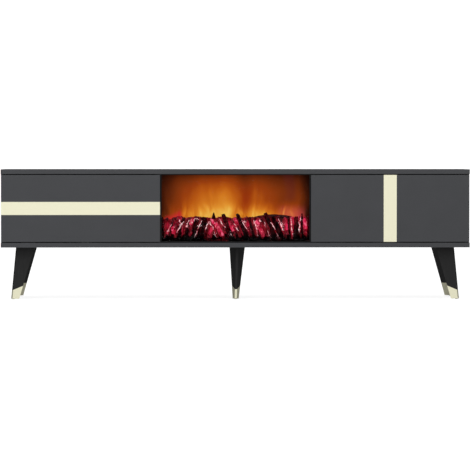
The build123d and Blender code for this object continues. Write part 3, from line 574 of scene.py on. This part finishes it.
def tube(bm, points, radii, sides, roughness, seed, flat=1.0):
    """A closed tube through points, with an uneven surface. flat squeezes it along y."""
    rings = []
    for index, (point, radius) in enumerate(zip(points, radii)):
        before = points[max(index - 1, 0)]
        after = points[min(index + 1, len(points) - 1)]
        basis = turned_to((after - before).normalized())
        ring = []
        for side in range(sides):
            angle = 2 * math.pi * side / sides
            uneven = noise.noise(Vector((side * 1.7 + seed, index * 0.9, seed * 3.1)))
            local = Vector((math.cos(angle), math.sin(angle), 0)) * radius
            local *= 1 + roughness * uneven
            offset = (basis @ local.to_4d()).to_3d()
            offset.y *= flat
            ring.append(bm.verts.new(point + offset))
        rings.append(ring)
    weave(bm, [ring + ring[:1] for ring in rings])
    bm.faces.new(list(reversed(rings[0])))
    bm.faces.new(rings[-1])


def sheet(bm, point, columns, rows):
    """Lines of vertices. point gives the place at a share across and a share up."""
    return [[bm.verts.new(point(column / columns, row / rows)) for column in range(columns + 1)]
            for row in range(rows + 1)]


def stick_points(foot, tip, count, wander, seed):
    """Points from foot to tip that wander a little to each side."""
    points = []
    for index in range(count):
        share = index / (count - 1)
        point = foot.lerp(tip, share)
        bend = math.sin(share * math.pi)
        point.x += wander * bend * noise.noise(Vector((share * 2.3, seed, 0.0)))
        point.y += wander * 0.5 * bend * noise.noise(Vector((seed, share * 2.1, 4.0)))
        points.append(point)
    return points


def chunk(bm, foot, tip, width, thickness, seed):
    """A broken block of resin, long from foot to tip, with an uneven surface."""
    middle = (foot + tip) / 2
    along = tip - foot
    result = bmesh.ops.create_icosphere(bm, subdivisions=3, radius=1.0)
    basis = turned_to(along.normalized())
    for vert in result["verts"]:
        shape = Vector([math.copysign(abs(c) ** 0.6, c) for c in vert.co])
        lumps = noise.fractal(vert.co * 1.6 + Vector((seed, 0, 0)), 0.9, 2.2, 3)
        shape *= 1 + 0.22 * lumps
        local = Vector((shape.x * width / 2, shape.y * thickness / 2, shape.z * along.length / 2))
        vert.co = middle + (basis @ local.to_4d()).to_3d()


# Charred logs: foot x, tip x, tip height above the bed's floor and radius
sticks = [
    (-0.284, -0.283, 0.096, 0.0092),
    (-0.222, -0.199, 0.094, 0.0062),
    (-0.192, -0.187, 0.054, 0.0060),
    (-0.166, -0.147, 0.094, 0.0095),
    (-0.142, -0.118, 0.096, 0.0120),
    (-0.008, -0.048, 0.108, 0.0090),
    (0.048, 0.006, 0.109, 0.0078),
    (0.078, 0.050, 0.094, 0.0048),
    (0.160, 0.114, 0.112, 0.0085),
    (0.180, 0.146, 0.096, 0.0095),
    (0.209, 0.204, 0.094, 0.0038),
    (0.232, 0.234, 0.098, 0.0095),
    (0.257, 0.256, 0.110, 0.0042),
    (0.283, 0.283, 0.108, 0.0070),
]

# Hot lines: upper x, upper height, lower x, lower height and thickness
rim_lines = [
    (-0.214, 0.088, -0.210, 0.066, 0.0016),
    (-0.210, 0.068, -0.226, 0.036, 0.0020),
    (-0.199, 0.080, -0.209, 0.060, 0.0014),
    (-0.246, 0.070, -0.262, 0.028, 0.0011),
    (-0.178, 0.086, -0.185, 0.066, 0.0013),
    (-0.186, 0.064, -0.189, 0.058, 0.0034),
    (-0.160, 0.086, -0.170, 0.072, 0.0019),
    (-0.156, 0.091, -0.167, 0.080, 0.0012),
    (-0.155, 0.091, -0.138, 0.086, 0.0011),
    (-0.128, 0.084, -0.145, 0.050, 0.0017),
    (-0.146, 0.044, -0.158, 0.018, 0.0012),
    (-0.102, 0.080, -0.117, 0.046, 0.0018),
    (-0.100, 0.080, -0.083, 0.048, 0.0017),
    (-0.082, 0.040, -0.072, 0.016, 0.0012),
    (-0.063, 0.090, -0.037, 0.055, 0.0019),
    (-0.037, 0.055, -0.012, 0.022, 0.0012),
    (-0.006, 0.071, 0.011, 0.043, 0.0021),
    (0.024, 0.084, 0.050, 0.044, 0.0017),
    (0.034, 0.081, 0.037, 0.074, 0.0024),
    (0.070, 0.084, 0.083, 0.048, 0.0024),
    (0.083, 0.048, 0.084, 0.024, 0.0013),
    (0.092, 0.086, 0.096, 0.078, 0.0026),
    (0.114, 0.074, 0.116, 0.058, 0.0018),
    (0.123, 0.044, 0.134, 0.012, 0.0012),
    (0.134, 0.078, 0.154, 0.048, 0.0015),
    (0.158, 0.034, 0.167, 0.010, 0.0010),
    (0.165, 0.088, 0.184, 0.044, 0.0024),
    (0.181, 0.078, 0.184, 0.058, 0.0014),
    (0.213, 0.090, 0.221, 0.022, 0.0021),
    (0.244, 0.080, 0.246, 0.038, 0.0019),
    (0.251, 0.100, 0.249, 0.080, 0.0017),
]

# Blocks of resin: middle x, middle height, width, length and lean
crimson_blocks = [
    (-0.258, 0.052, 0.014, 0.040, 0.006),
    (-0.238, 0.054, 0.032, 0.040, 0.004),
    (-0.216, 0.080, 0.024, 0.030, 0.006),
    (-0.208, 0.050, 0.022, 0.044, 0.008),
    (-0.169, 0.055, 0.020, 0.056, 0.010),
    (-0.094, 0.036, 0.026, 0.036, 0.006),
    (-0.068, 0.057, 0.036, 0.064, -0.030),
    (-0.026, 0.058, 0.016, 0.040, -0.014),
    (-0.010, 0.062, 0.018, 0.036, -0.014),
    (0.002, 0.078, 0.014, 0.026, -0.010),
    (0.026, 0.056, 0.018, 0.050, -0.014),
    (0.052, 0.054, 0.022, 0.050, -0.014),
    (0.088, 0.070, 0.026, 0.036, -0.008),
    (0.100, 0.044, 0.022, 0.044, -0.012),
    (0.162, 0.062, 0.016, 0.056, -0.016),
    (0.178, 0.050, 0.014, 0.040, -0.010),
    (0.195, 0.061, 0.022, 0.056, -0.006),
    (0.209, 0.046, 0.013, 0.036, -0.004),
    (0.221, 0.058, 0.018, 0.066, -0.004),
    (0.246, 0.064, 0.012, 0.062, -0.002),
    (0.270, 0.066, 0.016, 0.056, -0.004),
]
pink_blocks = [
    (-0.240, 0.052, 0.012, 0.014, 0.002),
    (-0.170, 0.076, 0.011, 0.018, 0.006),
    (-0.075, 0.065, 0.036, 0.046, -0.026),
    (-0.061, 0.050, 0.034, 0.044, -0.022),
    (-0.012, 0.052, 0.010, 0.020, -0.006),
    (0.085, 0.071, 0.014, 0.020, -0.006),
    (0.197, 0.058, 0.008, 0.020, -0.004),
    (0.267, 0.070, 0.012, 0.036, -0.003),
]

# The top edge of the mass, left to right: x and height above the bed's floor
outline = [
    (-0.290, 0.084), (-0.276, 0.086), (-0.270, 0.092), (-0.251, 0.089), (-0.223, 0.099),
    (-0.205, 0.099), (-0.195, 0.093), (-0.169, 0.097), (-0.139, 0.098), (-0.104, 0.093),
    (-0.070, 0.094), (-0.046, 0.099), (-0.014, 0.092), (0.010, 0.098), (0.030, 0.091),
    (0.052, 0.097), (0.0765, 0.096), (0.125, 0.101), (0.160, 0.101), (0.210, 0.094),
    (0.234, 0.096), (0.249, 0.090), (0.257, 0.096), (0.270, 0.091), (0.290, 0.088),
]

# How far each layer is behind the bed's front edge
rim_foot_depth = 0.008
rim_top_depth = 0.016
stick_foot_depth = 0.014
stick_tip_depth = 0.021
block_depth = 0.026
dull_depth = 0.034

# Where the logs and the dull blocks stand above the bed's floor, and how thick a block is
foot_height = 0.004
resin_thickness = 0.012


def outline_height(x):
    for (left, low), (right, high) in zip(outline, outline[1:]):
        if x <= right:
            return low + (high - low) * (x - left) / (right - left)
    return outline[-1][1]


def charred_sticks():
    """The logs, and one short pointed stump that stands above the mass."""
    bm = bmesh.new()
    steps = 12
    for number, (foot_x, tip_x, height, radius) in enumerate(sticks):
        foot = bed_point(foot_x, stick_foot_depth, foot_height)
        tip = bed_point(tip_x, stick_tip_depth, height)
        points = stick_points(foot, tip, count=steps + 1, wander=0.006, seed=number * 1.3)
        radii = [radius * (1.1 - 0.2 * step / steps) for step in range(steps)]
        radii.append(radius * 0.6)
        tube(bm, points, radii, sides=12, roughness=0.5, seed=number * 2.7, flat=0.6)
    stump_radii = [0.0094, 0.0080, 0.0058, 0.0036, 0.0012]
    stump_points = stick_points(bed_point(-0.084, stick_foot_depth, 0.088),
                                bed_point(-0.083, stick_foot_depth + 0.004, 0.114),
                                count=len(stump_radii), wander=0.001, seed=3.0)
    tube(bm, stump_points, stump_radii, sides=8, roughness=0.35, seed=9.0)
    return finish_piece("charred_sticks", bm, charred)


def glowing_rims(material):
    """Thin hot lines along the logs and between the blocks, uneven like melted glass."""
    bm = bmesh.new()
    count = 13
    sparks_each = 4
    for number, (high_x, high, low_x, low, thickness) in enumerate(rim_lines):
        top = bed_point(high_x, rim_top_depth, high)
        foot = bed_point(low_x, rim_foot_depth, low)
        points = stick_points(foot, top, count, wander=0.006, seed=number * 2.1)
        radii = []
        for index in range(count):
            swell = 0.6 + 0.9 * abs(noise.noise(Vector((index * 0.8, number, 1.5))))
            taper = math.sin(math.pi * (index + 0.5) / count) ** 0.5
            radii.append(thickness * swell * taper)
        tube(bm, points, radii, sides=7, roughness=0.4, seed=number * 5)
        for _ in range(sparks_each):
            aside = Vector((rng.uniform(-0.006, 0.006), 0.0, rng.uniform(-0.004, 0.004)))
            spark = foot.lerp(top, rng.uniform(0.1, 1.0)) + aside
            bmesh.ops.create_icosphere(bm, subdivisions=1, radius=rng.uniform(0.0007, 0.0016),
                                       matrix=Matrix.Translation(spark))
    return finish_piece("glowing_rims", bm, material, smooth=True)


def broken_blocks(name, blocks, nearer, material):
    """Each block is three shards that overlap, so its outline is broken."""
    bm = bmesh.new()
    for number, (x, height, width, length, lean) in enumerate(blocks):
        for share in (-0.3, 0.02, 0.32):
            middle = bed_point(x + lean * share + rng.uniform(-0.12, 0.12) * width,
                               block_depth - nearer, height + length * share)
            half = Vector((lean + rng.uniform(-0.004, 0.004), 0.004, length)) * 0.27
            chunk(bm, middle - half, middle + half, width * rng.uniform(0.7, 1.05),
                  resin_thickness, number * 3.3 + share * 9)
    return finish_piece(name, bm, material)


def dull_chunks(material):
    """Darker blocks that fill the bed between the bright ones, and a long log on top."""
    bm = bmesh.new()
    count = 26
    inset = 0.015
    span = bed_width - 2 * inset
    for number in range(count):
        x = bed_left + inset + span * number / (count - 1)
        lean = (0.020 if x < -0.09 else -0.022) + rng.uniform(-0.008, 0.008)
        height = outline_height(x) - rng.uniform(0.001, 0.007)
        foot = bed_point(x - lean / 2, dull_depth, foot_height)
        tip = bed_point(x + lean / 2, dull_depth, height)
        chunk(bm, foot, tip, rng.uniform(0.022, 0.032), resin_thickness, rng.uniform(0, 50))
    log_count = 17
    arch = 0.007
    log_radius = 0.0075
    points = stick_points(bed_point(0.072, dull_depth - 0.004, 0.093),
                          bed_point(0.224, dull_depth - 0.002, 0.092),
                          log_count, wander=0.0, seed=5.0)
    radii = []
    for index, point in enumerate(points):
        point.z += arch * math.sin(math.pi * index / (log_count - 1))
        radii.append(log_radius * math.sin(math.pi * (index + 0.5) / log_count) ** 0.3)
    tube(bm, points, radii, sides=10, roughness=0.3, seed=2.0)
    return finish_piece("dull_embers", bm, material)


def ember_wall(material):
    """The back of the mass: a lumpy sheet with a broken upper edge, right across the bed."""
    bm = bmesh.new()
    wall_y = bed_rear - 0.012
    thickness = 0.004
    edge_roughness = 0.004
    roughness = 0.003

    def face(y):
        def point(across, up):
            x = bed_left + bed_width * across
            edge = outline_height(x)
            edge += edge_roughness * noise.fractal(Vector((x * 70, 0, 7.0)), 0.8, 2.2, 3)
            z = bed_floor + edge * up
            lumps = noise.fractal(Vector((x * 55, z * 40, 2.0)), 0.8, 2.1, 4)
            return (x, y + roughness * lumps, z)

        return sheet(bm, point, columns=220, rows=20)

    front = face(wall_y)
    back = face(wall_y + thickness)
    weave(bm, front)
    weave(bm, back, turned=True)
    for edge in (0, -1):
        weave(bm, [front[edge], back[edge]])
        weave(bm, [[line[edge] for line in front], [line[edge] for line in back]])
    return finish_piece("ember_wall", bm, material, smooth=True)


def ember_heap():
    """The moulded bed under the chunks: a lumpy slope from the front up to the screen."""
    bm = bmesh.new()
    lowest = 0.002
    front_height = 0.004
    rise = 0.032
    roughness = 0.010

    def point(across, along):
        x = bed_left + bed_width * across
        y = bed_front + (bed_rear - bed_front) * along
        lumps = noise.fractal(Vector((x * 38, y * 38, 0)), 0.8, 2.1, 4)
        height = max(lowest, front_height + rise * along + roughness * lumps)
        return (x, y, bed_floor + height)

    grid = sheet(bm, point, columns=190, rows=26)
    weave(bm, grid)
    edges = [grid[0], [line[-1] for line in grid], grid[-1][::-1], [line[0] for line in grid[::-1]]]
    border = [vert for edge in edges for vert in edge[:-1]]
    feet = [bm.verts.new((vert.co.x, vert.co.y, bed_floor)) for vert in border]
    weave(bm, [border + border[:1], feet + feet[:1]])
    bm.faces.new(feet)
    return finish_piece("ember_heap", bm, charred, smooth=True)


def gap_shade_block():
    """A black block in the gap between the fireplace's front frame and the top board: a dark sheet
    put in as painted shade, so the gap stays dark.
    """
    low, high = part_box("fire_bezel")
    board_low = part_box("top_panel")[0]
    bm = bmesh.new()
    result = bmesh.ops.create_cube(bm, size=1.0)
    depth = 0.003
    inset = 0.002
    size = Vector((high[0] - low[0], depth, board_low[2] - high[2]))
    middle = Vector(((low[0] + high[0]) / 2, high[1] - inset, (board_low[2] + high[2]) / 2))
    for vert in result["verts"]:
        vert.co = middle + Vector(a * b for a, b in zip(vert.co, size))
    return finish_piece("gap_shade_block", bm, plastic)


# The fire. Tones run from crust to core
pink_tones = [linear(130, 8, 30), linear(196, 24, 62), linear(226, 52, 94), linear(242, 104, 134)]
crimson_tones = [linear(54, 3, 10), linear(118, 8, 26), linear(168, 18, 46), linear(206, 44, 76)]
dull_tones = [linear(20, 2, 4), linear(62, 5, 11), linear(104, 10, 19), linear(150, 22, 40)]
dull_resin = ember_glow("dull_resin", dull_tones, linear(170, 44, 60))
# A black block that paints the shade in the gap under the top board
gap_shade_block()
heap = ember_heap()
ember_wall(dull_resin)
dull_chunks(dull_resin)
broken_blocks("crimson_embers", crimson_blocks, 0.0,
              ember_glow("crimson_resin", crimson_tones, linear(236, 120, 140)))
broken_blocks("pink_embers", pink_blocks, 0.005,
              ember_glow("pink_resin", pink_tones, linear(250, 180, 190)))
glowing_rims(hot_edge())
charred_sticks()
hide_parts("ember_bed")

# Floor: white, and dimmer where glossy surfaces mirror it
bpy.ops.mesh.primitive_plane_add(size=60)
floor = bpy.context.object
floor.name = "floor"
floor_shader = Shader("floor")
glossy = floor_shader.add("ShaderNodeLightPath").outputs["Is Glossy Ray"]
floor_shader.set(Base_Color=floor_shader.mix(glossy, grey(0.44), grey(0.36)), Roughness=0.9)
floor_shader.set(Specular_IOR_Level=0.1)
floor_shader.glow(floor_shader.mix(glossy, grey(0.74), grey(0.12)))
floor.data.materials.append(floor_shader.material)

# World: white behind the scene, and soft light that falls off to the left and right
world = bpy.data.worlds.new("studio")
bpy.context.scene.world = world
world.use_nodes = True
sky = Nodes(world.node_tree)
direction = sky.split(sky.add("ShaderNodeTexCoord").outputs["Generated"])
soft_light = sky.ramp(sky.math("ABSOLUTE", direction[0]), [(0.55, grey(1.0)), (0.95, grey(0.22))])
seen = sky.add("ShaderNodeLightPath").outputs["Is Camera Ray"]
background = sky.tree.nodes["Background"]
sky.put(background.inputs["Color"], sky.mix(seen, soft_light, grey(1.2)))
background.inputs["Strength"].default_value = 1.0


def facing(place, target):
    """The rotation with which a light or a camera at a place looks at a target."""
    return (target - place).to_track_quat("-Z", "Y").to_euler()


# Key light: soft, from the front left and above
key_place = Vector((-0.8, -3.2, 3.4))
key_light = bpy.data.lights.new("key", "AREA")
key_light.shape = "SQUARE"
key_light.size = 2.5
key_light.energy = 62
key = bpy.data.objects.new("key", key_light)
key.location = key_place
key.rotation_euler = facing(key_place, Vector((0, 0, 0.3)))
bpy.context.scene.collection.objects.link(key)

bpy.context.scene.view_settings.view_transform = "Standard"

# Camera: long lens, a little left of the middle and just above the top board
front_y = cad_box[0][1]
top_z = cad_box[1][2]
eye = Vector((-0.185, front_y - 11.2, top_z + 0.048))
aim = Vector((-0.002, front_y, 0.248))
camera_data = bpy.data.cameras.new("camera")
camera_data.lens = 223.7
camera_data.sensor_width = 36.0
camera_data.clip_end = 200.0
camera = bpy.data.objects.new("camera", camera_data)
camera.location = eye
camera.rotation_euler = facing(eye, aim)
bpy.context.scene.collection.objects.link(camera)
bpy.context.scene.camera = camera
